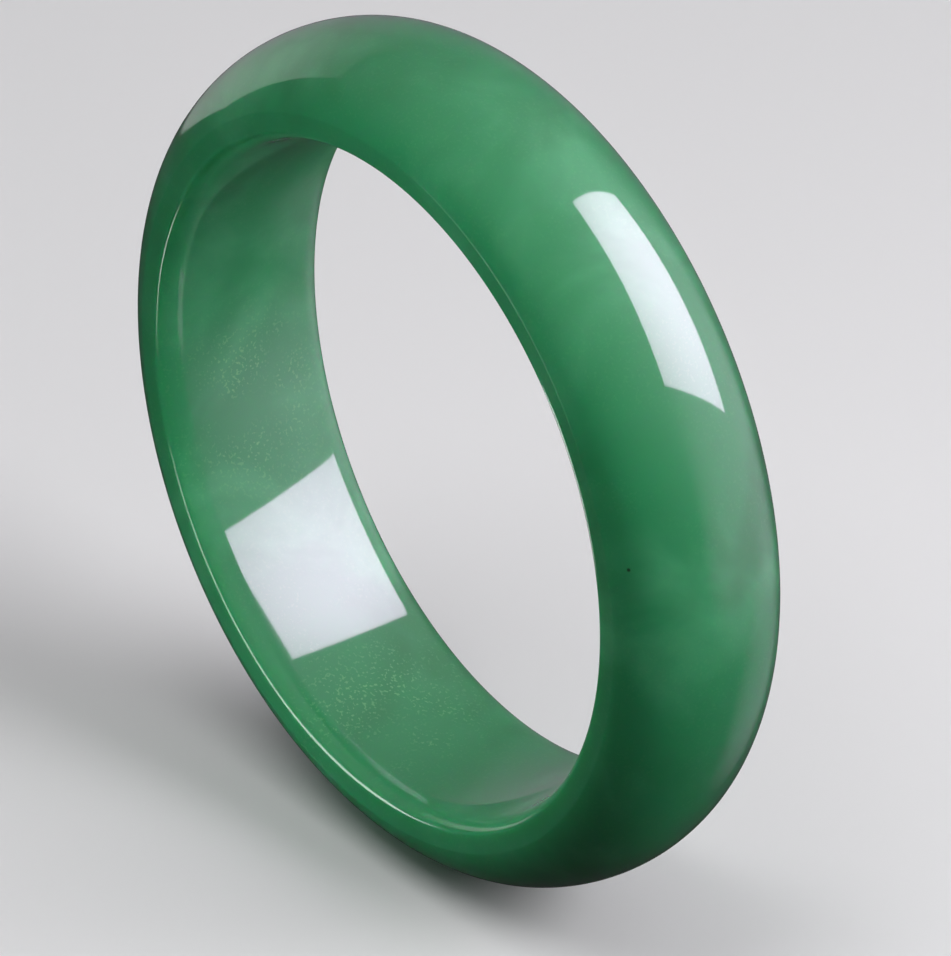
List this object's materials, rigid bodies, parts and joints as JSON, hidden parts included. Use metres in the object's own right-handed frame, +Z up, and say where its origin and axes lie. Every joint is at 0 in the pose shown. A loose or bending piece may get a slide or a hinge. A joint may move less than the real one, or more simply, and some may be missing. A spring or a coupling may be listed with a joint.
{
  "type": "bangle bracelet",
  "caption": "Plain closed bangle bracelet of polished green stone: gently swollen bore, softened bore edges, narrow flat side faces and a domed outside.",
  "frame": {"origin": "centre of the bore, half way across the width", "axes": "+Y along the ring's axis, the way a hand goes through it; +Z up, with the ring standing on its rim at -Z; +X across the opening. The two sides are alike, so either may face the front."},
  "size_m": [0.0736, 0.0164, 0.0736],
  "materials": {
    "green_stone": "high polish, cloudy and slightly translucent mid green with fine pale flecks"
  },
  "bodies": {
    "root": {"stone_ring": "green_stone"}
  },
  "joints": []
}
